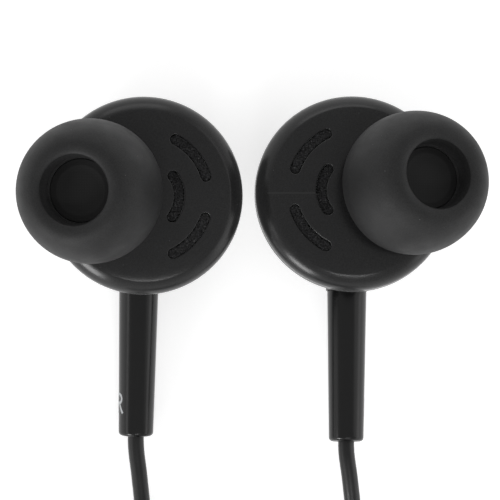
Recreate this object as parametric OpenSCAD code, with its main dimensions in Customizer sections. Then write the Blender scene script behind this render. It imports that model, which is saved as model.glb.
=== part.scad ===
// Wired earphones with a 3.5 mm plug: two housings with tilted nozzles and soft ear tips, and a wound cord.
// Millimetres. The earphones lie on their backs at z = 0, faces up, stems and cord toward -y.
// Each ear is drawn for the left side: x outward, y up, z out of the face, with its origin in the ring plane.

/* [Housing] */
// Radius of the housing at its widest ring
ring_r = 8.35; // [7.5:0.05:9.5]
// Height of the straight band under the ring
ring_band = 0.35; // [0.2:0.05:0.8]
// Radius of the crease round the face
crease_r = 7.16; // [6.8:0.02:7.4]
// Height of the crease over the ring plane
crease_h = 1.6; // [1.3:0.05:2.2]
// Rise of the face from the crease to its middle
face_rise = 0.35; // [0.2:0.05:0.6]
// Wall of the face
face_wall = 0.65; // [0.5:0.05:0.9]
// Wall of the rear shell
shell_wall = 0.9; // [0.7:0.05:1.2]
// Depth of the back under the ring plane
back_depth = 7.35; // [7:0.05:9]
// Sphere radius of the back
back_r = 22; // [18:0.5:30]
// Radius where the side rounds into the back
back_edge_r = 5; // [4.5:0.1:5.5]
// Radius of the side where its round starts
side_low_r = 8; // [7.6:0.05:8.2]
// Depth where the round of the side starts
side_low = 2.6; // [2.2:0.1:3]

/* [Face vents] */
// Width of each vent
vent_w = 0.88; // [0.6:0.02:1.1]
// Middle radius of the two outer vents
outer_vent_r = 5.35; // [5:0.05:5.6]
// Where each outer vent starts, in degrees
outer_vent_from = 19; // [15:1:25]
// Where each outer vent ends, in degrees
outer_vent_to = 63; // [55:1:70]
// Middle radius of the inner vent
inner_vent_r = 2.85; // [2.6:0.05:3.2]
// Half of the inner vent, in degrees
inner_vent_half = 37; // [30:1:45]
// Thickness of the felt behind the vents
felt_t = 0.45; // [0.3:0.05:0.5]

/* [Nozzle] */
// Outward tilt of the nozzle
nozzle_tilt = 18.4; // [12:0.2:22]
// Upward tilt of the nozzle
nozzle_lift = 1.2; // [0:0.2:3]
// Distance of the tip's middle from the housing axis
tip_out = 4.72; // [4.4:0.01:5]
// Height of the tip's middle over the ring plane
tip_height = 4.3; // [4.1:0.05:5]
// Shift of the tip's middle up the ear
tip_up = 0.32; // [0:0.02:0.6]
// Radius of the nozzle's neck
neck_r = 2.35; // [2.2:0.05:2.45]
// Radius of the nozzle's barb
barb_r = 2.6; // [2.5:0.02:2.7]
// Bore of the nozzle
nozzle_bore_r = 1.75; // [1.4:0.05:1.85]
// Reach of the nozzle past the tip's middle
nozzle_reach = 2.6; // [2.2:0.1:3]
// Thickness of the mesh
mesh_t = 0.25; // [0.15:0.05:0.4]

/* [Ear tip] */
// Largest radius of the ear tip
tip_r = 6; // [5.6:0.05:6.3]
// Radius of the tip's front crest
crest_r = 3.5; // [3.3:0.05:3.8]
// Reach of the tip past its middle
tip_front = 4.8; // [4.2:0.05:5.2]
// Reach of the skirt behind the tip's middle
tip_rear = 2.15; // [1.6:0.05:2.4]
// Radius of the skirt's rear edge
skirt_r = 5.65; // [5.3:0.05:5.8]
// Radius of the tip's opening
opening_r = 2.8; // [2.7:0.02:3]
// Depth of the funnel in the crest
funnel_h = 0.4; // [0.2:0.05:0.8]
// Wall of the skirt's edge
skirt_wall = 0.45; // [0.35:0.05:0.6]
// Wall of the sleeve on the nozzle
sleeve_wall = 0.85; // [0.7:0.05:1]
// Gap between the sleeve and the barb
sleeve_gap = 0.03; // [0.02:0.01:0.08]

/* [Driver] */
// Radius of the driver's flange
flange_r = 6.75; // [6.5:0.05:7]
// Thickness of the driver's flange
flange_t = 0.6; // [0.4:0.05:0.8]
// Radius of the driver's cup
cup_r = 6.1; // [5.9:0.05:6.3]
// Depth of the driver's cup
cup_depth = 3.2; // [3:0.05:3.4]
// Radius of the yoke
yoke_r = 3.6; // [3.5:0.05:3.8]
// Radius of the magnet
magnet_r = 2.5; // [2.4:0.02:2.55]
// Height of the magnet
magnet_h = 1.5; // [1.3:0.05:1.6]
// Thickness of the diaphragm
film_t = 0.12; // [0.08:0.02:0.16]

/* [Stem and cord] */
// Depth of the stem's axis under the ring plane
stem_depth = 5.2; // [5:0.05:5.6]
// Radius of the stem at the collar
stem_r = 1.7; // [1.6:0.05:1.8]
// Radius of the stem at its end
stem_end_r = 1.5; // [1.3:0.025:1.6]
// Radius of the collar on the rear shell
collar_r = 1.82; // [1.78:0.02:2]
// Reach of the collar from the housing axis
collar_reach = 8.6; // [8.4:0.05:9.5]
// Reach of the stem from the housing axis
stem_reach = 20.8; // [18:0.1:24]
// Radius of the round at the stem's end
stem_round = 0.35; // [0.2:0.05:0.5]
// Radius of the cord
cord_r = 0.7; // [0.6:0.05:0.75]
// Length of the crimp
crimp_l = 1.6; // [1.2:0.1:2]

/* [Wound cord] */
// Radius of the coil at its outer loops
coil_r = 15.5; // [15:0.1:18]
// Free gap between neighbouring loops
loop_gap = 0.45; // [0.42:0.01:0.5]
// Width of the tie
tie_w = 3; // [2:0.5:4]
// Thickness of the tie
tie_t = 0.5; // [0.4:0.05:0.6]

/* [Plug] */
// Radius of the pin
pin_r = 1.75; // [1.7:0.05:1.8]
// Length of the pin
pin_l = 14; // [13:0.5:15]
// Radius of the grip
grip_r = 3.5; // [3.2:0.1:4]
// Length of the grip
grip_l = 16; // [12:0.5:20]
// Length of the plug's strain relief
relief_l = 7; // [5:0.5:9]
// Length of the splitter
splitter_l = 12; // [10:0.5:14]

/* [Hidden] */
$fn = 64;
curve_steps = 16;
slack = 0.03;
cord_gap = 0.05;
cut = 0.5;
edge = 0.08;

// where the ears lie: middle of each ring, then pitch, lean and turn
right_at = [-8.91, 6.19];
right_turn = [1.7, -0.6, -1.05];
left_at = [8.88, 6.44];
left_turn = [-7.2, -3.05, -0.95];

// front shell
face_top = crease_h + face_rise;
face_power = 4.6;
face_crown = 0.1;
inner_face = face_top - face_crown - face_wall;
ledge_r = flange_r - 0.55;
vents_at = 180;
felt_past = 12;
tongue_in = flange_r + 0.05;
tongue_out = tongue_in + 0.5;
tongue_h = 1.05;
seam_z = -ring_band;
seat_r = neck_r + 0.55;
seat_h = 0.35;

// rear shell
back_slope = back_edge_r / sqrt(back_r * back_r - back_edge_r * back_edge_r);
back_edge_z = -back_depth + back_r - sqrt(back_r * back_r - back_edge_r * back_edge_r);
round_h = -side_low - back_edge_z;
round_share = (side_low_r - back_edge_r) * back_slope / round_h;
round_end = acos(round_share / (1 - round_share));
round_a = (side_low_r - back_edge_r) / (1 - cos(round_end));
round_b = round_h / sin(round_end);

// nozzle and tip, along the nozzle's axis from the tip's middle
nozzle_axis = [sin(nozzle_tilt) * cos(nozzle_lift), sin(nozzle_lift), cos(nozzle_tilt) * cos(nozzle_lift)];
nozzle_foot = (inner_face - tip_height) / nozzle_axis[2] - 1.2;
barb_front_r = barb_r - 0.25;
barb_back = nozzle_reach - 1.4;
mesh_r = nozzle_bore_r + 0.22;
sleeve_r = barb_r + sleeve_gap;
sleeve_out = sleeve_r + sleeve_wall;
sleeve_rear = -1.5;
hollow_r = tip_r - skirt_wall - 0.15;
hollow_top = tip_front - 1.5;

// driver, down from the ledge
flange_top = -film_t;
cup_wall = 0.4;
cup_floor_t = 0.6;
yoke_wall = 0.45;
yoke_floor_t = 0.6;
yoke_back = -cup_depth - 0.4;
magnet_back = yoke_back + yoke_floor_t;
plate_t = 0.6;
plate_r = magnet_r + 0.1;
voice_in = plate_r + 0.15;
voice_out = voice_in + 0.2;
voice_back = magnet_back + 0.9;
roll_h = 0.42;
dome_h = 0.45;
board_t = 0.6;
wire_r = 0.22;
wire_rise = 0.15;
pad_x = 0.9;

// stem
collar_from = 5.5;
spigot_r = stem_r - 0.35;
neck_bore_r = spigot_r + slack;
spigot_l = 1.4;
stem_bore_r = 0.95;
crimp_r = spigot_r - 0.05;
crimp_from = collar_reach - spigot_l - crimp_l;

// wound cord: the two branches side by side on two layers, then the trunk on two more
cord_d = 2 * cord_r;
pitch = cord_d + loop_gap;
coil_at = [0, -47];
floor_gap = tie_t;
rings_a_loop = 24;
layer_z = [for (k = [0:3]) floor_gap + cord_r + k * pitch];
right_from = 180;
left_from = 80;
pair_turns_at = 975;
pair_to = 1740;
trunk_from = 90;
trunk_turns_at = 1935;
coil_lead = 0.3;
tie_top = layer_z[3] + cord_r + 0.1;

// splitter and plug
splitter_at = [18.5, -47.5];
splitter_z = 2;
splitter_w = 4.6;
splitter_t = 3.4;
splitter_side = 0.95;
plug_at = [-10, -69];
plug_z = grip_r;
relief_r = 2.3;
relief_end_r = cord_r + 0.6;
rib_l = relief_l / 5;
rib_h = 0.25;
rib_rise = (relief_r - relief_end_r) / 5;
sleeve_l = 0.47 * pin_l;
band_l = 0.055 * pin_l;
ring_l = 0.185 * pin_l;

// ---- placing ----

function about_x(p, a) = [p[0], p[1] * cos(a) - p[2] * sin(a), p[1] * sin(a) + p[2] * cos(a)];
function about_y(p, a) = [p[0] * cos(a) + p[2] * sin(a), p[1], p[2] * cos(a) - p[0] * sin(a)];
function about_z(p, a) = [p[0] * cos(a) - p[1] * sin(a), p[0] * sin(a) + p[1] * cos(a), p[2]];
function turned(p, turn) = about_z(about_y(about_x(p, turn[0]), turn[1]), turn[2]);

// height of the ring plane's middle when the back rests at z = 0
function rest_z(turn) = back_r - (back_r - back_depth) * cos(turn[0]) * cos(turn[1]);
function placed(p, at, turn) = turned(p, turn) + [at[0], at[1], rest_z(turn)];

module right_ear()
    translate([right_at[0], right_at[1], rest_z(right_turn)])
        rotate(right_turn)
            mirror([1, 0, 0])
                children();

module left_ear()
    translate([left_at[0], left_at[1], rest_z(left_turn)])
        rotate(left_turn)
            children();

// the frame of the nozzle: z along its axis, origin at the tip's middle
module on_nozzle()
    translate([tip_out, tip_up, tip_height])
        rotate([-nozzle_lift, nozzle_tilt, 0])
            children();

// the frame of the stem: z down the stem from the housing axis
module on_stem()
    translate([0, 0, -stem_depth])
        rotate([90, 0, 0])
            children();

// a round bar between two points
module bar(a, b, r) {
    way = b - a;
    translate(a)
        rotate([0, acos(way[2] / norm(way)), atan2(way[1], way[0])])
            cylinder(h = norm(way), r = r);
}

// a round bar of several stretches, with balls at its bends
module wire(points, r) {
    for (k = [0:len(points) - 2])
        bar(points[k], points[k + 1], r);
    for (k = [1:len(points) - 2])
        translate(points[k])
            sphere(r = r);
}

// ---- housing ----

function face_z(r) = face_top - face_rise * pow(r / crease_r, face_power);

// outline of the face and the rim, from the middle out
function front_curve() = concat(
    [for (k = [0:10]) let (r = crease_r * sqrt(k / 10)) [r, face_z(r)]],
    [for (k = [curve_steps - 1:-1:0])
        let (a = 90 * k / curve_steps) [crease_r + (ring_r - crease_r) * cos(a), crease_h * sin(a)]]
);

// outline of the side and the back, inset by a wall
function rear_curve(inset) = concat(
    [[side_low_r - inset, -side_low]],
    [for (k = [1:curve_steps])
        let (a = round_end * k / curve_steps)
            [side_low_r - round_a + (round_a - inset) * cos(a), -side_low - (round_b - inset) * sin(a)]],
    [for (k = [3:-1:0])
        let (r = back_edge_r * 0.9 * k / 4)
            [r, back_r - back_depth - sqrt(pow(back_r - inset, 2) - r * r)]]
);

// a curved slot with round ends, as an outline
function arc_slot(r, from, to) = concat(
    [for (k = [0:12]) let (a = from + (to - from) * k / 12) (r + vent_w / 2) * [cos(a), sin(a)]],
    [for (k = [1:7]) r * [cos(to), sin(to)] + vent_w / 2 * [cos(to + 22.5 * k), sin(to + 22.5 * k)]],
    [for (k = [12:-1:0]) let (a = from + (to - from) * k / 12) (r - vent_w / 2) * [cos(a), sin(a)]],
    [for (k = [1:7])
        r * [cos(from), sin(from)] + vent_w / 2 * [cos(from + 180 + 22.5 * k), sin(from + 180 + 22.5 * k)]]
);

module vent(r, from, to)
    translate([0, 0, inner_face - cut])
        linear_extrude(face_top - inner_face + 2 * cut)
            polygon(arc_slot(r, from, to));

module nozzle_outside()
    on_nozzle()
        rotate_extrude()
            polygon([
                [0, nozzle_foot], [neck_r, nozzle_foot], [neck_r, barb_back], [barb_r, barb_back],
                [barb_r, barb_back + 0.4], [barb_front_r, nozzle_reach], [0, nozzle_reach]
            ]);

module nozzle_inside()
    on_nozzle() {
        translate([0, 0, nozzle_foot - 0.2])
            cylinder(h = nozzle_reach - nozzle_foot + cut, r = nozzle_bore_r);
        translate([0, 0, nozzle_reach - mesh_t - 0.1])
            cylinder(h = mesh_t + cut, r = mesh_r + slack);
    }

// the low round seat that the tilted neck stands on
module nozzle_seat() {
    along = (face_top - tip_height) / nozzle_axis[2];
    translate([tip_out + along * nozzle_axis[0], tip_up + along * nozzle_axis[1], inner_face])
        cylinder(h = face_z(tip_out - 0.5) - inner_face + seat_h, r1 = seat_r, r2 = seat_r - 0.2);
}

module front_shell()
    difference() {
        union() {
            rotate_extrude()
                polygon(concat(
                    front_curve(),
                    [[ring_r, seam_z + edge], [ring_r - edge, seam_z], [tongue_out, seam_z],
                     [tongue_out, seam_z - tongue_h], [0, seam_z - tongue_h]]
                ));
            nozzle_seat();
            nozzle_outside();
        }
        rotate_extrude()
            polygon([
                [0, seam_z - tongue_h - cut], [tongue_in, seam_z - tongue_h - cut], [tongue_in, 0],
                [ledge_r, 0], [ledge_r, inner_face], [0, inner_face]
            ]);
        nozzle_inside();
        vent(outer_vent_r, vents_at - outer_vent_to, vents_at - outer_vent_from);
        vent(outer_vent_r, vents_at + outer_vent_from, vents_at + outer_vent_to);
        vent(inner_vent_r, vents_at - inner_vent_half, vents_at + inner_vent_half);
    }

module rear_shell()
    difference() {
        union() {
            rotate_extrude()
                polygon(concat(
                    [[0, seam_z], [ring_r - edge, seam_z], [ring_r, seam_z - edge]],
                    rear_curve(0)
                ));
            on_stem()
                rotate_extrude()
                    polygon([
                        [0, collar_from], [collar_r, collar_from], [collar_r, collar_reach - edge],
                        [collar_r - edge, collar_reach], [0, collar_reach]
                    ]);
        }
        rotate_extrude()
            polygon(concat(
                [[0, seam_z + cut], [tongue_out + slack, seam_z + cut],
                 [tongue_out + slack, seam_z - tongue_h - 0.05],
                 [side_low_r - shell_wall + 0.15, seam_z - tongue_h - 0.05]],
                rear_curve(shell_wall)
            ));
        on_stem()
            translate([0, 0, crimp_from])
                cylinder(h = collar_reach - crimp_from + cut, r = neck_bore_r);
    }

module stem()
    on_stem()
        rotate_extrude()
            polygon(concat(
                [[stem_bore_r, collar_reach - spigot_l], [spigot_r, collar_reach - spigot_l],
                 [spigot_r, collar_reach], [stem_r, collar_reach]],
                [for (k = [0:8])
                    let (a = 90 * k / 8)
                        [stem_end_r - stem_round * (1 - cos(a)), stem_reach - stem_round * (1 - sin(a))]],
                [[cord_r + cord_gap, stem_reach], [cord_r + cord_gap, stem_reach - 1.2],
                 [stem_bore_r, stem_reach - 1.2]]
            ));

module nozzle_mesh()
    on_nozzle()
        translate([0, 0, nozzle_reach - mesh_t - 0.1])
            cylinder(h = mesh_t, r = mesh_r);

module vent_felt()
    translate([0, 0, inner_face - felt_t])
        rotate([0, 0, vents_at - outer_vent_to - felt_past])
            rotate_extrude(angle = 2 * (outer_vent_to + felt_past))
                translate([inner_vent_r - vent_w, 0])
                    square([ledge_r - 0.05 - inner_vent_r + vent_w, felt_t]);

// ---- ear tip ----

// radius of the dome, from the middle to the crest
function dome_r(t, r, front) = crest_r + (r - crest_r) * pow(1 - pow(t / front, 1.87), 1 / 1.95);
// radius of the skirt behind the middle
function skirt_line(t, r, edge_r) = r - (r - edge_r) * pow(t / tip_rear, 2);

module ear_tip()
    on_nozzle()
        rotate_extrude()
            polygon(concat(
                [[sleeve_r, sleeve_rear], [sleeve_r, nozzle_reach + 0.1], [opening_r, nozzle_reach + 0.1],
                 [opening_r, tip_front - funnel_h]],
                [for (k = [1:4])
                    let (a = 90 * k / 4)
                        [crest_r - (crest_r - opening_r) * (1 - sin(a)), tip_front - funnel_h * cos(a)]],
                [for (k = [curve_steps - 1:-1:0])
                    let (t = tip_front * sin(90 * k / curve_steps)) [dome_r(t, tip_r, tip_front), t]],
                [for (k = [1:5]) let (t = tip_rear * k / 5) [skirt_line(t, tip_r, skirt_r), -t]],
                [for (k = [5:-1:0])
                    let (t = tip_rear * k / 5)
                        [skirt_line(t, hollow_r, skirt_r - skirt_wall), -t]],
                [for (k = [1:curve_steps - 2])
                    let (a = 90 * k / (curve_steps - 2))
                        [sleeve_out + (hollow_r - sleeve_out) * cos(a), hollow_top * sin(a)]],
                [[sleeve_out, sleeve_rear + 0.2], [sleeve_out - 0.2, sleeve_rear]]
            ));

// ---- driver ----

module driver_frame()
    difference() {
        rotate_extrude()
            polygon([
                [yoke_r + slack, -cup_depth], [cup_r, -cup_depth], [cup_r, flange_top - flange_t],
                [flange_r, flange_top - flange_t], [flange_r, flange_top], [cup_r - cup_wall, flange_top],
                [cup_r - cup_wall, cup_floor_t - cup_depth], [yoke_r + slack, cup_floor_t - cup_depth]
            ]);
        for (a = [45:90:315])
            rotate([0, 0, a])
                translate([(cup_r - cup_wall + yoke_r) / 2, 0, -cup_depth - cut])
                    cylinder(h = cup_floor_t + 2 * cut, r = 0.5, $fn = 24);
    }

// upper line of the diaphragm: clamped edge, half roll, flat for the coil, dome
function film_line(drop) = concat(
    [[flange_r - 0.05, -drop], [ledge_r, -drop]],
    [for (k = [1:9])
        let (a = 180 * k / 10, mid = (ledge_r + voice_out + 0.15) / 2)
            [mid + (ledge_r - mid) * cos(a), roll_h * sin(a) - drop]],
    [[voice_out + 0.15, -drop], [voice_in, -drop]],
    [for (k = [5:-1:0]) let (r = voice_in * k / 6) [r, dome_h * (1 - pow(r / voice_in, 2)) - drop]]
);

module diaphragm()
    rotate_extrude()
        polygon(concat(film_line(0), [for (k = [len(film_line(0)) - 1:-1:0]) film_line(film_t)[k]]));

module voice_coil()
    rotate_extrude()
        translate([voice_in, voice_back])
            square([voice_out - voice_in, -film_t - voice_back]);

module top_plate()
    translate([0, 0, magnet_back + magnet_h])
        cylinder(h = plate_t, r = plate_r);

module magnet()
    translate([0, 0, magnet_back])
        cylinder(h = magnet_h, r = magnet_r);

module yoke()
    difference() {
        translate([0, 0, yoke_back])
            cylinder(h = yoke_floor_t + magnet_h + plate_t - 0.1, r = yoke_r);
        translate([0, 0, magnet_back])
            cylinder(h = magnet_h + plate_t + cut, r = yoke_r - yoke_wall);
    }

module terminal_board()
    translate([-1.9, -cup_r + 0.55, -cup_depth - board_t])
        cube([3.8, cup_r - 0.55 - yoke_r - 0.1, board_t]);

module crimp()
    on_stem()
        translate([0, 0, crimp_from])
            difference() {
                cylinder(h = crimp_l, r = crimp_r);
                translate([0, 0, -cut])
                    cylinder(h = crimp_l + 2 * cut, r = cord_r);
            }

// the cord's end in the stem, and its two wires to the board
module inner_lead() {
    pad_y = -(cup_r - 0.55 + yoke_r + 0.1) / 2;
    on_stem()
        translate([0, 0, crimp_from])
            cylinder(h = stem_reach - crimp_from, r = cord_r);
    for (side = [-1, 1])
        wire([
            [side * cord_r / 2, -crimp_from - wire_r, wire_rise - stem_depth],
            [side * pad_x * 2 / 3, pad_y - pad_x / 3, wire_rise - stem_depth],
            [side * pad_x, pad_y, board_t - stem_depth],
            [side * pad_x, pad_y, -cup_depth - board_t]
        ], wire_r);
}

// ---- cord ----

function unit(v) = v / norm(v);
function side_of(way) = unit(cross([0, 0, 1], way));
function way_at(p, k) =
    k == 0 ? unit(p[1] - p[0])
    : k == len(p) - 1 ? unit(p[k] - p[k - 1])
    : unit(unit(p[k + 1] - p[k]) + unit(p[k] - p[k - 1]));

// one closed tube along a route, with a ring at each of its points
module tube(route, r, sides) {
    last = len(route) - 1;
    rings = [for (k = [0:last])
        let (way = way_at(route, k), side = side_of(way), up = cross(way, side))
            for (s = [0:sides - 1])
                let (a = 360 * (s + 0.5) / sides) route[k] + r * (cos(a) * side + sin(a) * up)];
    walls = [for (k = [0:last - 1], s = [0:sides - 1])
        let (a = k * sides + s, b = k * sides + (s + 1) % sides)
            for (face = [[a, a + sides, b], [b, a + sides, b + sides]]) face];
    ends = [for (s = [1:sides - 2])
        for (face = [[0, s, s + 1], [last * sides, last * sides + s + 1, last * sides + s]]) face];
    polyhedron(points = rings, faces = concat(walls, ends));
}

function smooth(x) = x <= 0 ? 0 : x >= 1 ? 1 : x * x * (3 - 2 * x);

// a point of the coil at an angle that runs on from turn to turn: radius steps in, then out one layer up
function coil_point(a, turns_at, r_min, step, low) =
    let (r = r_min + step * abs(a - turns_at) / 360)
        [coil_at[0] + r * cos(a), coil_at[1] + r * sin(a),
         layer_z[low] + pitch * smooth((a - turns_at + 90) / 180)];

// direction of the coil at an angle
function coil_way(a) = [-sin(a), cos(a), 0];

// a whole coil, with straight ends one diameter long
function coil_route(from, to, turns_at, r_min, step, low) =
    let (
        count = round((to - from) * rings_a_loop / 360),
        first = coil_point(from, turns_at, r_min, step, low),
        last = coil_point(to, turns_at, r_min, step, low)
    )
    concat(
        [first - cord_d * coil_way(from)],
        [for (k = [0:count]) coil_point(from + (to - from) * k / count, turns_at, r_min, step, low)],
        [last + cord_d * coil_way(to)]
    );

// ends of a free stretch that meets a coil: face to face and in line with it
function before_coil(route) = [route[0] + coil_lead * unit(route[0] - route[1]), route[0]];
function after_coil(route) =
    let (last = len(route) - 1, way = unit(route[last] - route[last - 1]))
        [route[last], route[last] + coil_lead * way];

function length_of(p, k = 1) = k >= len(p) ? 0 : norm(p[k] - p[k - 1]) + length_of(p, k + 1);

// least gap of a coil to itself, between points at least half a loop apart
function own_gap(p) =
    let (last = len(p) - 1)
        min([for (i = [0:last], j = [0:last]) if (j > i + rings_a_loop / 2) norm(p[i] - p[j])]) - cord_d;
function gap_between(p, q) = min([for (a = p, b = q) norm(a - b)]) - cord_d;

pair_step = 2 * pitch;
right_min = coil_r - pair_step * (pair_turns_at - right_from) / 360;
left_min = right_min - pitch;
trunk_min = coil_r - pitch * (trunk_turns_at - trunk_from) / 360;
trunk_to = 2 * trunk_turns_at - trunk_from;
tie_in = left_min - cord_r - 0.25;
tie_out = coil_r + cord_r - pair_step / 6 + 0.15;

right_coil_route = coil_route(right_from, pair_to, pair_turns_at, right_min, pair_step, 0);
left_coil_route = coil_route(left_from, pair_to, pair_turns_at, left_min, pair_step, 0);
trunk_coil_route = coil_route(trunk_from, trunk_to, trunk_turns_at, trunk_min, pitch, 2);

stem_end = [0, -stem_reach, -stem_depth];
stem_step = [0, -0.4, 0];
right_exit = placed(stem_end, right_at, right_turn);
left_exit = placed(stem_end, left_at, left_turn);

right_route = concat(
    [right_exit, right_exit + turned(stem_step, right_turn)],
    [[-8.9, -18, 1.25], [-8.6, -21, 1], [-8.6, -24.5, 1], [-9.2, -28, 1], [-10.5, -31.4, 1], [-12.3, -34.7, 1],
     [-14, -38, 1.1], [-15.2, -41.6, 1.2]],
    before_coil(right_coil_route)
);
left_route = concat(
    [left_exit, left_exit + turned(stem_step, left_turn)],
    [[9, -18, 4.8], [9.4, -20.8, 4.1], [9.75, -24, 3], [9.7, -27.2, 2], [8.7, -30.3, 1.4],
     [6.7, -32.3, 1.2]],
    before_coil(left_coil_route)
);
right_out_route = concat(
    after_coil(right_coil_route),
    [[11.1, -58.15, 3.05], [13.2, -56.95, 3], [15.2, -55.75, 2.8], [17, -54.4, 2.5], [18.3, -52.65, 2.25],
     [19.15, -50.6, 2.05]],
    [[splitter_at[0] + splitter_side, splitter_at[1] - 0.9, splitter_z],
     [splitter_at[0] + splitter_side, splitter_at[1], splitter_z]]
);
left_out_route = concat(
    after_coil(left_coil_route),
    [[10.1, -56.55, 3.05], [12.2, -55.35, 3], [14.2, -54.2, 2.8], [15.6, -53.15, 2.5], [16.7, -51.75, 2.25],
     [17.3, -50.1, 2.05]],
    [[splitter_at[0] - splitter_side, splitter_at[1] - 0.9, splitter_z],
     [splitter_at[0] - splitter_side, splitter_at[1], splitter_z]]
);
trunk_start_route = concat(
    [[splitter_at[0], splitter_at[1] + splitter_l, splitter_z],
     [splitter_at[0], splitter_at[1] + splitter_l + 1.4, splitter_z]],
    [[17.7, -31.1, 2.3], [15.5, -28.9, 2.9], [12.6, -28.05, 3.5], [9.6, -28.5, 4.1], [6.8, -29.7, 4.6],
     [4.3, -30.8, 4.9]],
    before_coil(trunk_coil_route)
);
trunk_end_route = concat(
    after_coil(trunk_coil_route),
    [[-15.8, -52, 6.4], [-16.6, -56, 5.6], [-17.2, -60, 4.8], [-16.8, -63.6, 4.2], [-15.2, -66.6, 3.8],
     [-12.9, -68.5, 3.6], [-11.2, -69, 3.5]],
    [[plug_at[0], plug_at[1], plug_z]]
);

echo(right_branch = length_of(right_route) + length_of(right_coil_route) + length_of(right_out_route));
echo(left_branch = length_of(left_route) + length_of(left_coil_route) + length_of(left_out_route));
echo(trunk = length_of(trunk_start_route) + length_of(trunk_coil_route) + length_of(trunk_end_route));
echo(right_coil_gap = own_gap(right_coil_route));
echo(left_coil_gap = own_gap(left_coil_route));
echo(trunk_coil_gap = own_gap(trunk_coil_route));
echo(right_to_left_gap = gap_between(right_coil_route, left_coil_route));
echo(left_to_trunk_gap = gap_between(left_coil_route, trunk_coil_route));
echo(right_to_trunk_gap = gap_between(right_coil_route, trunk_coil_route));

// the tie that holds the coil, a flat loop with round corners
module cable_tie() {
    module loop(grow)
        hull()
            for (y = [tie_in + 0.8, tie_out - 0.8], z = [floor_gap + 0.8, tie_top - 0.8])
                translate([coil_at[1] - y, z])
                    circle(r = 0.8 + grow, $fn = 24);
    color("#1b1c1d")
        translate([coil_at[0] - tie_w / 2, 0, 0])
            rotate([90, 0, 90])
                linear_extrude(tie_w)
                    difference() {
                        loop(tie_t);
                        loop(0);
                    }
}

// ---- splitter and plug ----

module splitter()
    color("#1b1c1d")
        translate([splitter_at[0], splitter_at[1], splitter_z])
            rotate([-90, 0, 0])
                hull() {
                    for (side = [-1, 1])
                        translate([side * (splitter_w - splitter_t) / 2, 0, 0])
                            cylinder(h = splitter_l * 0.6, r = splitter_t / 2, $fn = 32);
                    cylinder(h = splitter_l, r = cord_r + 0.45, $fn = 32);
                }

module on_plug(x)
    translate([plug_at[0] + x, plug_at[1], plug_z])
        rotate([0, 90, 0])
            children();

module plug_strain_relief()
    color("#1b1c1d")
        on_plug(0)
            rotate_extrude()
                polygon(concat(
                    [[0, 0], [relief_end_r - 0.1, 0]],
                    [for (k = [0:3])
                        let (x = rib_l * (k + 0.5), r = relief_end_r + rib_rise * (k + 1))
                            for (p = [[r, x], [r, x + rib_l / 2], [r - rib_h, x + rib_l / 2],
                                      [r - rib_h, x + rib_l]]) p],
                    [[relief_r, relief_l * 0.9], [relief_r, relief_l], [0, relief_l]]
                ));

module plug_grip()
    color("#1b1c1d")
        on_plug(relief_l)
            rotate_extrude()
                polygon(concat(
                    [[0, 0], [relief_r + 0.3, 0]],
                    [for (k = [0:6])
                        let (a = 90 * k / 6)
                            [relief_r + 0.3 + (grip_r - relief_r - 0.3) * sin(a), 1.6 * (1 - cos(a))]],
                    [[grip_r, grip_l - 0.5], [grip_r - 0.5, grip_l], [0, grip_l]]
                ));

module plug_sleeve()
    color("silver")
        on_plug(relief_l + grip_l)
            rotate_extrude()
                polygon([[0, 0], [pin_r, 0], [pin_r, sleeve_l], [0, sleeve_l]]);

module plug_rear_band()
    color("#1b1c1d")
        on_plug(relief_l + grip_l + sleeve_l)
            cylinder(h = band_l, r = pin_r - 0.03);

module plug_ring()
    color("silver")
        on_plug(relief_l + grip_l + sleeve_l + band_l)
            cylinder(h = ring_l, r = pin_r);

module plug_front_band()
    color("#1b1c1d")
        on_plug(relief_l + grip_l + sleeve_l + band_l + ring_l)
            cylinder(h = band_l, r = pin_r - 0.03);

// the contact at the front, with its waist and blunt cone
module plug_tip() {
    from = sleeve_l + 2 * band_l + ring_l;
    tip_l = pin_l - from;
    color("silver")
        on_plug(relief_l + grip_l + from)
            rotate_extrude()
                polygon([
                    [0, 0], [pin_r, 0], [pin_r, tip_l * 0.12], [pin_r * 0.72, tip_l * 0.36],
                    [pin_r * 0.86, tip_l * 0.56], [pin_r * 0.8, tip_l * 0.68], [pin_r * 0.3, tip_l * 0.97],
                    [pin_r * 0.2, tip_l], [0, tip_l]
                ]);
}

// ---- nodes ----

module right_front_shell() color("#27282a") right_ear() front_shell();
module right_rear_shell() color("#27282a") right_ear() rear_shell();
module right_stem() color("#222325") right_ear() stem();
module right_ear_tip() color("#303132") right_ear() ear_tip();
module right_nozzle_mesh() color("#1d1e1f") right_ear() nozzle_mesh();
module right_vent_felt() color("#161617") right_ear() vent_felt();
module right_driver_frame() color("dimgray") right_ear() driver_frame();
module right_diaphragm() color("lightgray") right_ear() diaphragm();
module right_voice_coil() color("peru") right_ear() voice_coil();
module right_top_plate() color("silver") right_ear() top_plate();
module right_magnet() color("slategray") right_ear() magnet();
module right_yoke() color("silver") right_ear() yoke();
module right_terminal_board() color("darkgreen") right_ear() terminal_board();
module right_crimp() color("silver") right_ear() crimp();
module right_inner_lead() color("#1b1c1d") right_ear() inner_lead();

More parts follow.
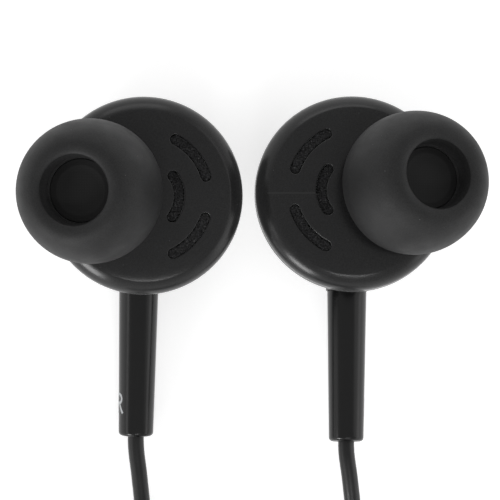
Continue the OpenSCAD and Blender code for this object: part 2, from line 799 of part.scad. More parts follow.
module left_front_shell() color("#27282a") left_ear() front_shell();
module left_rear_shell() color("#27282a") left_ear() rear_shell();
module left_stem() color("#222325") left_ear() stem();
module left_ear_tip() color("#303132") left_ear() ear_tip();
module left_nozzle_mesh() color("#1d1e1f") left_ear() nozzle_mesh();
module left_vent_felt() color("#161617") left_ear() vent_felt();
module left_driver_frame() color("dimgray") left_ear() driver_frame();
module left_diaphragm() color("lightgray") left_ear() diaphragm();
module left_voice_coil() color("peru") left_ear() voice_coil();
module left_top_plate() color("silver") left_ear() top_plate();
module left_magnet() color("slategray") left_ear() magnet();
module left_yoke() color("silver") left_ear() yoke();
module left_terminal_board() color("darkgreen") left_ear() terminal_board();
module left_crimp() color("silver") left_ear() crimp();
module left_inner_lead() color("#1b1c1d") left_ear() inner_lead();

module right_lead() color("#1b1c1d") tube(right_route, cord_r, 8);
module right_lead_coil() color("#1b1c1d") tube(right_coil_route, cord_r, 6);
module right_lead_out() color("#1b1c1d") tube(right_out_route, cord_r, 8);
module left_lead() color("#1b1c1d") tube(left_route, cord_r, 8);
module left_lead_coil() color("#1b1c1d") tube(left_coil_route, cord_r, 6);
module left_lead_out() color("#1b1c1d") tube(left_out_route, cord_r, 8);
module trunk_start() color("#1b1c1d") tube(trunk_start_route, cord_r, 8);
module trunk_coil() color("#1b1c1d") tube(trunk_coil_route, cord_r, 6);
module trunk_end() color("#1b1c1d") tube(trunk_end_route, cord_r, 8);

right_front_shell();
right_rear_shell();
right_stem();
right_ear_tip();
right_nozzle_mesh();
right_vent_felt();
right_driver_frame();
right_diaphragm();
right_voice_coil();
right_top_plate();
right_magnet();
right_yoke();
right_terminal_board();
right_crimp();
right_inner_lead();
left_front_shell();
left_rear_shell();
left_stem();
left_ear_tip();
left_nozzle_mesh();
left_vent_felt();
left_driver_frame();
left_diaphragm();
left_voice_coil();
left_top_plate();
left_magnet();
left_yoke();
left_terminal_board();
left_crimp();
left_inner_lead();
right_lead();
right_lead_coil();
right_lead_out();
left_lead();
left_lead_coil();
left_lead_out();
splitter();
trunk_start();
trunk_coil();
trunk_end();
cable_tie();
plug_strain_relief();
plug_grip();
plug_sleeve();
plug_ring();
plug_tip();
plug_rear_band();
plug_front_band();
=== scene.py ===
import math

import bmesh
import bpy
from mathutils import Matrix, Vector, noise
from mathutils.geometry import delaunay_2d_cdt


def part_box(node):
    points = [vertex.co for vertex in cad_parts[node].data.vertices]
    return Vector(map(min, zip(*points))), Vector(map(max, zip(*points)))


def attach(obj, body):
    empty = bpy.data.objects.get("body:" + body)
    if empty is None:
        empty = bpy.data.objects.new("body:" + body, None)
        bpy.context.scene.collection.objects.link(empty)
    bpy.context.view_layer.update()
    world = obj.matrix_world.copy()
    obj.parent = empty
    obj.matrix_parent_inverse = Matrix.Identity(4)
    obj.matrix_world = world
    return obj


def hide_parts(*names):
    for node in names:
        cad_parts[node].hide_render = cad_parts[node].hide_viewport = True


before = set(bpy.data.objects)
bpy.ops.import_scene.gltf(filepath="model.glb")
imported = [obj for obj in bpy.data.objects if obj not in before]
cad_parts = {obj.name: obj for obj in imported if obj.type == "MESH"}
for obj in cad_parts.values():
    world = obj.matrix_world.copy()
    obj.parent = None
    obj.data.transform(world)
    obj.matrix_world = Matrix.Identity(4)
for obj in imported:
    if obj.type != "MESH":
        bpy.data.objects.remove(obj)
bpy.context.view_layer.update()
scene = bpy.context.scene
millimetre = 0.001
toMetres = Matrix.Scale(millimetre, 4)
weld = 0.0005  # in millimetres: points closer than this become one
print("frame loaded:", len(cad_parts), "nodes")


# a profile is a list of (radius, height) and a shape is (vertices, faces), both in millimetres

def circle(r, sides, offset=0):
    # offset is how far on the first point lies, as a share of a step
    turns = [2 * math.pi * (k + offset) / sides for k in range(sides)]
    return [(r * math.cos(a), r * math.sin(a)) for a in turns]


def arc(x, y, across, up, start, end, steps):
    # points on an ellipse about (x, y), from one angle to another in degrees
    points = []
    for k in range(steps + 1):
        a = math.radians(start + (end - start) * k / steps)
        points.append((x + across * math.cos(a), y + up * math.sin(a)))
    return points


def bend(start, corner, end, steps):
    # a curve that leaves and arrives along the two legs of a corner
    points = []
    for k in range(steps + 1):
        t = k / steps
        p = start * (1 - t) ** 2 + corner * 2 * t * (1 - t) + end * t * t
        points.append((p.x, p.y))
    return points


def filleted(corners, steps=5):
    # corners of (radius, height, fillet): each sharp corner becomes a short curve
    points = []
    for k, (r, z, fillet) in enumerate(corners):
        if fillet <= 0:
            points.append((r, z))
            continue
        here = Vector((r, z))
        before = Vector(corners[k - 1][:2]) - here
        after = Vector(corners[(k + 1) % len(corners)][:2]) - here
        reach = min(fillet, 0.45 * before.length, 0.45 * after.length)  # short of the legs' middles
        points += bend(here + before.normalized() * reach, here, here + after.normalized() * reach, steps)
    return points


def lathe(profile, sides, closed=True):
    # a profile spun about z; points on the axis become one vertex
    verts, rows = [], []
    for r, z in profile:
        if r < 1e-6:
            rows.append([len(verts)] * sides)
            verts.append(Vector((0, 0, z)))
            continue
        rows.append(list(range(len(verts), len(verts) + sides)))
        verts += [Vector((x, y, z)) for x, y in circle(r, sides)]
    faces = []
    for i in range(len(rows) if closed else len(rows) - 1):
        low, high = rows[i], rows[(i + 1) % len(rows)]
        for k in range(sides):
            m = (k + 1) % sides
            corners = list(dict.fromkeys((low[k], low[m], high[m], high[k])))
            if len(corners) > 2:
                faces.append(corners)
    return verts, faces


def skin(rings, closed=False):
    # faces between rings of as many points
    count, sides = len(rings), len(rings[0])
    faces = []
    for k in range(count if closed else count - 1):
        n = (k + 1) % count
        for s in range(sides):
            m = (s + 1) % sides
            faces.append([k * sides + s, k * sides + m, n * sides + m, n * sides + s])
    return [v for ring in rings for v in ring], faces


def capped(shape, sides):
    # closes the first and the last ring of a skin
    verts, faces = shape
    return verts, faces + [list(range(sides)), list(range(len(verts) - sides, len(verts)))]


def moved(shape, matrix):
    verts, faces = shape
    return [matrix @ v for v in verts], faces


def joined(shapes):
    verts, faces = [], []
    for v, f in shapes:
        start = len(verts)
        verts += v
        faces += [[start + k for k in face] for face in f]
    return verts, faces


def turned(degrees, axis):
    return Matrix.Rotation(math.radians(degrees), 4, axis)


def vectors(points):
    return [Vector(p) for p in points]


def smoothStep(x):
    x = min(max(x, 0), 1)
    return x * x * (3 - 2 * x)


def makePiece(name, shape, material, slotName, nodes=(), place=Matrix.Identity(4), body="earphones",
              sharp=40, lining=None):
    # one object, smooth but for edges sharper than the given angle;
    # a lining is (material, test): the faces whose middle passes the test take that material
    verts, faces = shape
    inMetres = toMetres @ place
    mesh = bpy.data.meshes.new(name)
    mesh.from_pydata([inMetres @ v for v in verts], [], faces)
    mesh.materials.append(material)
    if lining:
        mesh.materials.append(lining[0])
        for polygon, face in zip(mesh.polygons, faces):
            middle = sum((verts[k] for k in face), Vector()) / len(face)
            polygon.material_index = 1 if lining[1](middle) else 0
    bm = bmesh.new()
    bm.from_mesh(mesh)
    bmesh.ops.remove_doubles(bm, verts=bm.verts, dist=weld * millimetre)
    bmesh.ops.recalc_face_normals(bm, faces=bm.faces)
    bm.to_mesh(mesh)
    bm.free()
    mesh.shade_smooth()
    mesh.set_sharp_from_angle(angle=math.radians(sharp))
    piece = bpy.data.objects.new(name, mesh)
    scene.collection.objects.link(piece)
    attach(piece, body)
    if nodes:
        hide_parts(*nodes)
    return piece


def rgba(colour):
    # a plain number is a grey
    return (*colour, 1) if hasattr(colour, "__len__") else (colour, colour, colour, 1)


def plugIn(owner, value, socket):
    # a socket takes another node's output, a number or a colour
    if isinstance(value, bpy.types.NodeSocket):
        owner.node_tree.links.new(value, socket)
    else:
        socket.default_value = rgba(value) if socket.type == "RGBA" else value


def addNode(owner, kind, **settings):
    # a setting is a socket, named with _ for each space, or else a property of the node
    node = owner.node_tree.nodes.new(kind)
    for key, value in settings.items():
        socket = node.inputs.get(key.replace("_", " "))
        if socket is None:
            setattr(node, key, value)
        else:
            plugIn(owner, value, socket)
    return node


def feed(material, **sockets):
    # sets or links sockets of the material's shader, named as in addNode
    shader = material.node_tree.nodes["Principled BSDF"]
    for name, value in sockets.items():
        plugIn(material, value, shader.inputs[name.replace("_", " ")])


def newMaterial(name, colour, **sockets):
    material = bpy.data.materials.new(name)
    material.use_nodes = True
    feed(material, Base_Color=colour, **sockets)
    return material


def maths(material, operation, *values):
    node = addNode(material, "ShaderNodeMath", operation=operation)
    for value, socket in zip(values, node.inputs):
        plugIn(material, value, socket)
    return node.outputs[0]


def mixed(material, share, first, second, how="MIX"):
    node = addNode(material, "ShaderNodeMix", data_type="RGBA", blend_type=how, Factor=share)
    plugIn(material, first, node.inputs[6])  # the sockets for colours are 6 and 7
    plugIn(material, second, node.inputs[7])
    return node.outputs[2]


def ramp(owner, source, stops):
    node = addNode(owner, "ShaderNodeValToRGB", Fac=source)
    elements = node.color_ramp.elements
    while len(elements) < len(stops):
        elements.new(0.5)
    for element, (position, colour) in zip(elements, stops):
        element.position = position
        element.color = rgba(colour)
    return node.outputs["Color"]


def objectPlace(material):
    return addNode(material, "ShaderNodeTexCoord").outputs["Object"]


def objectAxes(material):
    return addNode(material, "ShaderNodeSeparateXYZ", Vector=objectPlace(material)).outputs


grain = {
    "between": (0.3, 0.7),  # nearly all of a noise lies between these
    "noiseRoughness": 0.55, "patchScale": 220, "patchChange": 0.12, "fineScale": 9000, "fineChange": 0.38,
    "speckR": 0.1,  # as a share of the cell
}


def noiseTone(material, scale, detail=4):
    texture = addNode(material, "ShaderNodeTexNoise", Vector=objectPlace(material), Scale=scale,
                      Detail=detail, Roughness=grain["noiseRoughness"])
    return texture.outputs["Fac"]


def mottled(material, scale, detail, colour, change):
    # a colour that is lighter and darker by a share of itself
    low, high = grain["between"]
    return ramp(material, noiseTone(material, scale, detail),
                [(low, [c * (1 - change) for c in colour]), (high, [c * (1 + change) for c in colour])])


def spread(material, value, least, most, low, high):
    node = addNode(material, "ShaderNodeMapRange", Value=value, From_Min=least, From_Max=most,
                   To_Min=low, To_Max=high)
    return node.outputs["Result"]


def varyRoughness(material, scale, low, high):
    feed(material, Roughness=spread(material, noiseTone(material, scale), *grain["between"], low, high))


def addBump(material, height, strength, depth):
    bump = addNode(material, "ShaderNodeBump", Strength=strength, Distance=depth * millimetre, Height=height)
    feed(material, Normal=bump.outputs["Normal"])


def addDust(material, colour, dust, scale, share):
    # a moulded colour with slow changes of tone, a fine grain and sparse pale specks of dust
    tone = mottled(material, grain["patchScale"], 4, colour, grain["patchChange"])
    fine = mottled(material, grain["fineScale"], 2, (1, 1, 1), grain["fineChange"])
    cells = addNode(material, "ShaderNodeTexVoronoi", Vector=objectPlace(material), Scale=scale)
    near = maths(material, "LESS_THAN", cells.outputs["Distance"], grain["speckR"])
    draw = addNode(material, "ShaderNodeSeparateColor", Color=cells.outputs["Color"]).outputs["Red"]
    speck = maths(material, "MULTIPLY", near, maths(material, "LESS_THAN", draw, share))
    plain = mixed(material, 1, tone, fine, "MULTIPLY")
    feed(material, Base_Color=mixed(material, speck, plain, dust))


# rough is (scale, least, most); bump is (strength, depth in millimetres) and grain, a bump by noise,
# has scale and detail before them; dust is (tone, scale, share of the cells that hold a speck)
finishes = {
    "shell": {
        "name": "mouldedShell", "colour": (0.0112, 0.0112, 0.0115), "rough": (900, 0.19, 0.26),
        "grain": (6500, 3, 0.3, 0.01), "dust": (0.05, 2600, 0.05),
        "sockets": {"Specular_IOR_Level": 0.28, "Sheen_Weight": 0.15, "Sheen_Roughness": 0.5},
    },
    "gloss": {
        "name": "polishedStem", "colour": (0.0035, 0.0035, 0.0036), "rough": (500, 0.2, 0.27),
        "grain": (900, 2, 0.1, 0.01), "dust": (0.05, 1900, 0.03), "sockets": {"Specular_IOR_Level": 0.36},
    },
    "silicone": {
        "name": "silicone", "colour": (0.0122, 0.0122, 0.0125), "rough": (700, 0.54, 0.66),
        "grain": (5200, 3, 0.3, 0.012), "dust": (0.09, 2800, 0.06), "sockets": {"Specular_IOR_Level": 0.34},
    },
    "jacket": {
        "name": "cordJacket", "colour": (0.006, 0.006, 0.0062), "rough": (800, 0.3, 0.42),
        "grain": (5000, 3, 0.25, 0.01), "dust": (0.05, 2000, 0.03), "sockets": {"Specular_IOR_Level": 0.4},
    },
    "grip": {
        "name": "gripRubber", "colour": (0.009, 0.009, 0.0093), "rough": (600, 0.42, 0.56),
        "grain": (4200, 4, 0.4, 0.015), "dust": (0.06, 2000, 0.04), "sockets": {"Specular_IOR_Level": 0.36},
    },
    "contact": {
        "name": "nickel", "colour": (0.78, 0.76, 0.72), "rough": (1400, 0.1, 0.24),
        "grain": (3000, 2, 0.06, 0.004), "sockets": {"Metallic": 1},
    },
    "band": {"name": "contactBand", "colour": (0.012, 0.012, 0.012), "rough": (900, 0.24, 0.38)},
    "mark": {"name": "markPaint", "colour": (0.42, 0.43, 0.44), "rough": (1500, 0.42, 0.6)},
    "steel": {
        "name": "steel", "colour": (0.5, 0.5, 0.5), "rough": (1200, 0.22, 0.42),
        "grain": (3500, 3, 0.15, 0.008), "sockets": {"Metallic": 1},
    },
    "magnet": {
        "name": "magnet", "colour": (0.32, 0.32, 0.34), "rough": (1200, 0.22, 0.42),
        "grain": (3500, 3, 0.15, 0.008), "sockets": {"Metallic": 1},
    },
    "film": {
        "name": "film", "colour": (0.5, 0.51, 0.5), "rough": (1000, 0.18, 0.34),
        "grain": (2500, 2, 0.1, 0.01),
    },
    "frame": {
        "name": "driverFrame", "colour": (0.03, 0.03, 0.032), "rough": (1000, 0.38, 0.52),
        "grain": (4000, 3, 0.25, 0.012),
    },
}


def roughen(material, finish):
    varyRoughness(material, *finish["rough"])
    if "grain" in finish:
        scale, detail, *bump = finish["grain"]
        addBump(material, noiseTone(material, scale, detail), *bump)


def plainFinish(finish):
    material = newMaterial(finish["name"], finish["colour"], **finish.get("sockets", {}))
    if "dust" in finish:
        addDust(material, finish["colour"], *finish["dust"])
    roughen(material, finish)
    return material


# on the face of one shell; over is the height above which it shows
flowLine = {"x": 3.5, "y": 6.42, "halfLength": 2.1, "halfWidth": 0.07, "over": 8.5, "tone": 0.021}


def addFlowLine(material):
    # a faint pale line left by the mould
    line = flowLine
    place = objectAxes(material)
    along = maths(material, "COMPARE", place["X"], line["x"] * millimetre, line["halfLength"] * millimetre)
    across = maths(material, "COMPARE", place["Y"], line["y"] * millimetre, line["halfWidth"] * millimetre)
    above = maths(material, "GREATER_THAN", place["Z"], line["over"] * millimetre)
    mask = maths(material, "MULTIPLY", maths(material, "MULTIPLY", across, along), above)
    colour = material.node_tree.nodes["Principled BSDF"].inputs["Base Color"].links[0].from_socket
    feed(material, Base_Color=mixed(material, mask, colour, line["tone"]))


foamFinish = {
    "scale": 8000, "bump": (0.7, 0.04),
    "tones": [(0.38, 0.004), (0.52, (0.018, 0.018, 0.0185)), (0.66, (0.035, 0.035, 0.036)), (0.74, 0.12)],
}


def softFoam():
    material = newMaterial("foam", (0.02, 0.02, 0.02), Roughness=0.95, Specular_IOR_Level=0.2)
    pores = noiseTone(material, foamFinish["scale"])
    feed(material, Base_Color=ramp(material, pores, foamFinish["tones"]))
    addBump(material, pores, *foamFinish["bump"])
    return material


# painted light: the bores' tones stand in for light that fills the shade inside them
lining = {
    "deep": 14.0, "mouth": 16.0,  # heights between which the tones change
    "tones": [(0, (0.037, 0.037, 0.0373)), (0.45, (0.0215, 0.0215, 0.0217)), (1, (0.0185, 0.0185, 0.0187))],
    "fineScale": 7000, "fineDetail": 3, "fineChange": 0.25, "rough": (900, 0.84, 0.96),
    "grain": (5200, 3, 0.2, 0.01),
}


def liningWithPaintedFill():
    # the bores: painted fill light, lighter deep down where the shade falls and darker towards the mouth, so
    # that they show as one even tone
    material = newMaterial("liningWithPaintedFill", (0.02, 0.02, 0.0203), Specular_IOR_Level=0.1)
    height = objectAxes(material)["Z"]
    share = spread(material, height, lining["deep"] * millimetre, lining["mouth"] * millimetre, 0, 1)
    tone = ramp(material, share, lining["tones"])
    fine = mottled(material, lining["fineScale"], lining["fineDetail"], (1, 1, 1), lining["fineChange"])
    feed(material, Base_Color=mixed(material, 1, tone, fine, "MULTIPLY"))
    roughen(material, lining)
    return material


weave = {
    "scale": 1500, "distortion": 0.4, "bump": (0.15, 0.01),
    "tones": [(0.05, 0.0195), (0.6, (0.022, 0.022, 0.0222))],
}


def wovenMetal():
    # fine square weave, from two crossed waves
    material = newMaterial("wovenMetal", (0.02, 0.02, 0.021), Roughness=0.6, Metallic=0.2,
                           Specular_IOR_Level=0.15)
    waves = []
    for axis in ("X", "Y"):
        wave = addNode(material, "ShaderNodeTexWave", bands_direction=axis, Vector=objectPlace(material),
                       Scale=weave["scale"], Distortion=weave["distortion"])
        waves.append(wave.outputs["Fac"])
    crossed = maths(material, "MULTIPLY", *waves)
    feed(material, Base_Color=ramp(material, crossed, weave["tones"]))
    addBump(material, crossed, *weave["bump"])
    return material


copper = {"colour": (0.6, 0.25, 0.11), "turnScale": 2600, "bump": (0.6, 0.03), "rough": (1500, 0.26, 0.4)}


def woundCopper():
    material = newMaterial("copper", copper["colour"], Metallic=1)
    turns = addNode(material, "ShaderNodeTexWave", bands_direction="Z", Vector=objectPlace(material),
                    Scale=copper["turnScale"])
    addBump(material, turns.outputs["Fac"], *copper["bump"])
    roughen(material, copper)
    return material


board = {
    "colour": (0.02, 0.12, 0.05), "scale": 1800, "detail": 2,
    "tones": [(0.45, (0.015, 0.1, 0.045)), (0.55, (0.025, 0.15, 0.06))],
}


def circuitBoard():
    material = newMaterial("board", board["colour"], Roughness=0.35)
    tone = noiseTone(material, board["scale"], board["detail"])
    feed(material, Base_Color=ramp(material, tone, board["tones"]))
    return material


def makeMaterials():
    kinds = {name: plainFinish(finish) for name, finish in finishes.items()}
    addFlowLine(kinds["shell"])
    kinds.update(foam=softFoam(), lining=liningWithPaintedFill(), mesh=wovenMetal(), copper=woundCopper(),
                 board=circuitBoard())
    print("materials made:", len(kinds))
    return kinds


# the CAD solids that stay, each with its finish
insides = {
    "driver_frame": "frame", "diaphragm": "film", "voice_coil": "copper", "top_plate": "steel",
    "magnet": "magnet", "yoke": "steel", "terminal_board": "board", "crimp": "steel",
    "inner_lead": "jacket",
}


def dressInside(kinds):
    for side in ears:
        for part, finish in insides.items():
            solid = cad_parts[side + "_" + part]
            solid.data.materials.clear()
            solid.data.materials.append(kinds[finish])
    print("pieces inside dressed")


# where each earphone lies: middle of its ring, then pitch, lean and turn in degrees
ears = {
    "right": {"at": (-8.91, 6.19), "turn": (1.7, -0.6, -1.05), "outward": -1},
    "left": {"at": (8.88, 6.44), "turn": (-7.2, -3.05, -0.95), "outward": 1},
}


def earFrame(side):
    ear = ears[side]
    pitch, lean, turn = ear["turn"]
    sphere = housing["backR"] - housing["backDepth"]
    height = housing["backR"] - sphere * math.cos(math.radians(pitch)) * math.cos(math.radians(lean))
    spin = turned(turn, "Z") @ turned(lean, "Y") @ turned(pitch, "X")
    flip = Matrix.Diagonal((ear["outward"], 1, 1, 1))
    return Matrix.Translation((*ear["at"], height)) @ spin @ flip


housing = {
    "ringR": 8.35, "band": 0.35, "bandSlope": 28, "creaseR": 7.16, "creaseH": 1.6, "creaseWidth": 0.12,
    "faceRise": 0.35, "facePower": 4.6, "crown": 0.1, "faceWall": 0.65, "ledgeR": 6.2,
    "tongueIn": 6.8, "tongueOut": 7.3, "tongueH": 1.05, "slack": 0.03,
    "shellWall": 0.9, "backDepth": 7.35, "backR": 22.0, "backEdgeR": 5.0, "sideLowR": 8.0, "sideLow": 2.6,
    "sides": 192,
}
vents = {
    "width": 0.88, "edge": 0.1, "outerR": 5.35, "outerFrom": 19.0, "outerTo": 63.0, "innerR": 2.85,
    "innerHalf": 37.0, "faceStep": 0.34, "faceMargin": 0.15,
}


def faceHeight(r):
    top = housing["creaseH"] + housing["faceRise"]
    return top - housing["faceRise"] * min(r / housing["creaseR"], 1) ** housing["facePower"]


def innerFace(r=0):
    # flat, so the same at every radius
    return housing["creaseH"] + housing["faceRise"] - housing["crown"] - housing["faceWall"]


def ventSlots():
    # (middle radius, start, end) of each slot, in degrees
    a, b, c = vents["outerFrom"], vents["outerTo"], vents["innerHalf"]
    return [(vents["outerR"], 180 - b, 180 - a), (vents["outerR"], 180 + a, 180 + b),
            (vents["innerR"], 180 - c, 180 + c)]


def slotTip(r, angle):
    return r * math.cos(math.radians(angle)), r * math.sin(math.radians(angle))


def slotDistance(x, y):
    # distance of a point to the nearest slot's middle line
    angle = math.degrees(math.atan2(y, x)) % 360
    found = []
    for r, start, end in ventSlots():
        if start <= angle <= end:
            found.append(abs(math.hypot(x, y) - r))
        else:
            found += [math.hypot(x - u, y - v) for u, v in (slotTip(r, start), slotTip(r, end))]
    return min(found)


def slotOutline(slot, half):
    r, start, end = slot
    outline = arc(0, 0, r + half, r + half, start, end, 28)
    outline += arc(*slotTip(r, end), half, half, end, end + 180, 12)[1:-1]
    outline += arc(0, 0, r - half, r - half, end, start, 28)
    outline += arc(*slotTip(r, start), half, half, start + 180, start + 360, 12)[1:-1]
    return outline


def slottedDisc(outerR, half, height):
    # a disc with the three slots left open, in triangles
    step = vents["faceStep"]
    points, edges = [], []
    for loop in [circle(outerR, housing["sides"])] + [slotOutline(slot, half) for slot in ventSlots()]:
        start = len(points)
        points += vectors(loop)
        edges += [(start + k, start + (k + 1) % len(loop)) for k in range(len(loop))]
    for row in range(int((outerR - vents["faceMargin"]) / step)):
        r = (row + 0.5) * step
        for x, y in circle(r, max(6, int(2 * math.pi * r / step)), 0.5 * (row % 2)):
            if slotDistance(x, y) > half + step / 2:
                points.append(Vector((x, y)))
    flat, _, triangles, _, _, _ = delaunay_2d_cdt(points, edges, [], 0, 1e-5)
    faces = []
    for triangle in triangles:
        middle = sum((flat[k] for k in triangle), Vector((0, 0))) / 3
        if middle.length <= outerR and slotDistance(middle.x, middle.y) >= half - 0.001:
            faces.append(list(triangle))
    return [Vector((p.x, p.y, height(p.length))) for p in flat], faces


def slotWalls():
    # the round edge of each slot, then its wall down to the inner face
    half, edge = vents["width"] / 2, vents["edge"]
    shapes = []
    for slot in ventSlots():
        loops = []
        for out, drop in arc(half + edge, edge, -edge, -edge, 90, 0, 5):
            outline = slotOutline(slot, out)
            loops.append([Vector((x, y, faceHeight(math.hypot(x, y)) - drop)) for x, y in outline])
        loops.append([Vector((x, y, innerFace())) for x, y in slotOutline(slot, half)])
        shapes.append(skin(loops))
    return shapes


def frontShellShape():
    h = housing
    half = h["creaseWidth"] / 2
    slope = math.tan(math.radians(h["bandSlope"]))
    start = Vector((h["creaseR"] + half, h["creaseH"] - half * slope))
    shoulder = Vector((h["ringR"], start.y - (h["ringR"] - start.x) * slope))
    faceEdge = h["creaseR"] - half
    outer = [(faceEdge, faceHeight(faceEdge))] + bend(start, shoulder, Vector((h["ringR"], 0)), 25)
    seam = -h["band"]
    outer += filleted([
        (h["ringR"], seam / 2, 0), (h["ringR"], seam, 0.08), (h["tongueOut"], seam, 0.02),
        (h["tongueOut"], seam - h["tongueH"], 0.1), (h["tongueIn"], seam - h["tongueH"], 0.1),
        (h["tongueIn"], 0, 0.02), (h["ledgeR"], 0, 0.05), (h["ledgeR"], innerFace(), 0)])
    face = slottedDisc(faceEdge, vents["width"] / 2 + vents["edge"], faceHeight)
    back = slottedDisc(h["ledgeR"], vents["width"] / 2, innerFace)
    return joined([lathe(outer, h["sides"], closed=False), face, back] + slotWalls())


def rearCurve(inset):
    # the side and the back, from the rim down to the axis; the back is part of a sphere
    h = housing
    upright = math.sqrt(h["backR"] ** 2 - h["backEdgeR"] ** 2)
    roundH = h["backDepth"] - h["backR"] + upright - h["sideLow"]
    share = (h["sideLowR"] - h["backEdgeR"]) * h["backEdgeR"] / upright / roundH
    end = math.acos(share / (1 - share))  # where the side's curve meets the sphere
    a = (h["sideLowR"] - h["backEdgeR"]) / (1 - math.cos(end))
    b = roundH / math.sin(end)
    points = [(h["sideLowR"] - inset, -h["sideLow"])]
    points += arc(h["sideLowR"] - a, -h["sideLow"], a - inset, inset - b, 0, math.degrees(end), 30)[1:]
    for k in range(12, -1, -1):
        r = h["backEdgeR"] * 0.9 * k / 13
        points.append((r, h["backR"] - h["backDepth"] - math.sqrt((h["backR"] - inset) ** 2 - r * r)))
    return points


def rearShellShape():
    h = housing
    seam = -h["band"]
    grooveR = h["tongueOut"] + h["slack"]
    grooveEnd = seam - h["tongueH"] - 0.05
    # the inner wall, the groove for the front shell's tongue, the rim and the outside
    profile = list(reversed(rearCurve(h["shellWall"])))
    profile += [(h["sideLowR"] - h["shellWall"] + 0.15, grooveEnd), (grooveR, grooveEnd)]
    profile += filleted([(grooveR, seam, 0.03), (h["ringR"], seam, 0.09), (h["ringR"], seam - 0.5, 0)])
    return lathe(profile + rearCurve(0), h["sides"], closed=False)


# the nozzle's own z runs along it; the boss is the round foot that it stands on
nozzle = {
    "tilt": 18.4, "lift": 1.2, "out": 4.72, "up": 0.32, "height": 4.3, "neckR": 2.35, "barbR": 2.6,
    "barbL": 1.4, "barbLand": 0.4, "barbTaper": 0.25, "boreR": 1.75, "foot": -3.4, "reach": 2.6,
    "seatR": 1.97, "seatDepth": 0.35, "sides": 96,
}
boss = {"r": 2.9, "spread": 0.05, "edge": 0.18, "rise": 0.3, "sunk": 0.4, "faceR": 4.2}
nozzleMesh = {
    "r": 2.58, "over": 0.04, "thickness": 0.12, "rim": 0.03, "sides": 72,
    # a pressed ring, then a low dome: radius and height over the rim
    "dome": [(2.2, 0.005), (2.12, 0.02), (2.02, 0.02), (1.95, 0), (1.5, 0.02), (1, 0.035), (0.5, 0.04),
             (0, 0.045)],
}


def nozzleFrame():
    n = nozzle
    spot = Matrix.Translation((n["out"], n["up"], n["height"]))
    return spot @ turned(n["tilt"], "Y") @ turned(-n["lift"], "X")


def nozzleShape():
    n = nozzle
    front = n["reach"]
    back = front - n["barbL"]
    profile = filleted([
        (n["neckR"], n["foot"], 0), (n["neckR"], back, 0.05), (n["barbR"], back, 0.08),
        (n["barbR"], back + n["barbLand"], 0.25), (n["barbR"] - n["barbTaper"], front, 0.08),
        (n["seatR"], front, 0.05), (n["seatR"], front - n["seatDepth"], 0.02),
        (n["boreR"], front - n["seatDepth"], 0.05), (n["boreR"], n["foot"], 0)], 4)
    return lathe(profile, n["sides"])


def bossShape():
    top = faceHeight(boss["faceR"])
    profile = filleted([
        (0, top - boss["sunk"], 0), (boss["r"] + boss["spread"], top - boss["sunk"], 0),
        (boss["r"], top + 0.02, 0.1), (boss["r"] - boss["edge"], top + boss["rise"], 0.12),
        (0, top + boss["rise"], 0)], 4)
    tilt = math.radians(nozzle["tilt"])
    along = (housing["creaseH"] + housing["faceRise"] - nozzle["height"]) / math.cos(tilt)
    x = nozzle["out"] + along * math.sin(tilt)
    return moved(lathe(profile, nozzle["sides"], closed=False), Matrix.Translation((x, nozzle["up"], 0)))


def meshShape():
    # a cap of woven wire over the mouth of the nozzle
    m = nozzleMesh
    back = nozzle["reach"] - m["over"]
    rim = back + m["thickness"] - m["rim"]
    profile = filleted([(0, back, 0), (m["r"], back, 0.03), (m["r"], rim, 0.04), (m["r"] - 0.08, rim, 0)])
    profile += [(r, rim + z) for r, z in m["dome"]]
    return lathe(profile, m["sides"], closed=False)


foamPlate = {
    "innerR": 1.97, "outerR": 6.15, "thickness": 0.45, "gap": 0.02, "margin": 12, "rows": 62,
    "columns": 230, "bulge": 0.56, "bulgeEdge": 0.05, "ragged": 0.07, "grain": 0.05,
}


def foamTop(x, y):
    # the foam swells a little into the slots, with a ragged edge and a grain
    edge = vents["width"] / 2 + 0.02 + foamPlate["ragged"] * noise.noise(Vector((x, y, 9)) * 5)
    swell = smoothStep((edge - slotDistance(x, y)) / foamPlate["bulgeEdge"])
    fibres = noise.noise(Vector((x, y, 0)) * 7) + 0.6 * noise.noise(Vector((x, y, 3)) * 16)
    return innerFace() - foamPlate["gap"] + swell * (foamPlate["bulge"] + foamPlate["grain"] * fibres)


def foamShape():
    # a plate behind the slots, made of slices across it
    f = foamPlate
    half = vents["outerTo"] + f["margin"]
    radii = [f["innerR"] + (f["outerR"] - f["innerR"]) * k / f["rows"] for k in range(f["rows"] + 1)]
    low = innerFace() - f["thickness"]
    slices = []
    for u, v in arc(0, 0, 1, 1, 180 - half, 180 + half, f["columns"]):
        top = [Vector((r * u, r * v, foamTop(r * u, r * v))) for r in radii]
        slices.append(top + [Vector((p.x, p.y, low)) for p in reversed(top)])
    return capped(skin(slices), len(slices[0]))


# heights are along the nozzle; the skirt hangs back round the sleeve that grips the barb;
# rise and roundness are the powers that shape the dome
earTip = {
    "r": 6.0, "crestR": 3.5, "front": 4.8, "rear": 2.15, "skirtR": 5.65, "skirtWall": 0.45,
    "shoulderWall": 0.6, "crownWall": 1.5, "openingR": 2.8, "mouthR": 2.9, "lip": 0.25,
    "sleeveR": 2.63, "sleeveOut": 3.48, "sleeveRear": -1.5, "rise": 1.87, "roundness": 1.95, "sides": 160,
}


def domeRadius(height):
    e = earTip
    part = max(1 - min(height / e["front"], 1) ** e["rise"], 0)
    return e["crestR"] + (e["r"] - e["crestR"]) * part ** (1 / e["roundness"])


def skirtCurve(top, low, shares):
    # one side of the skirt; shares are of the way to its rear edge
    return [(top - (top - low) * t * t, -earTip["rear"] * t) for t in shares]


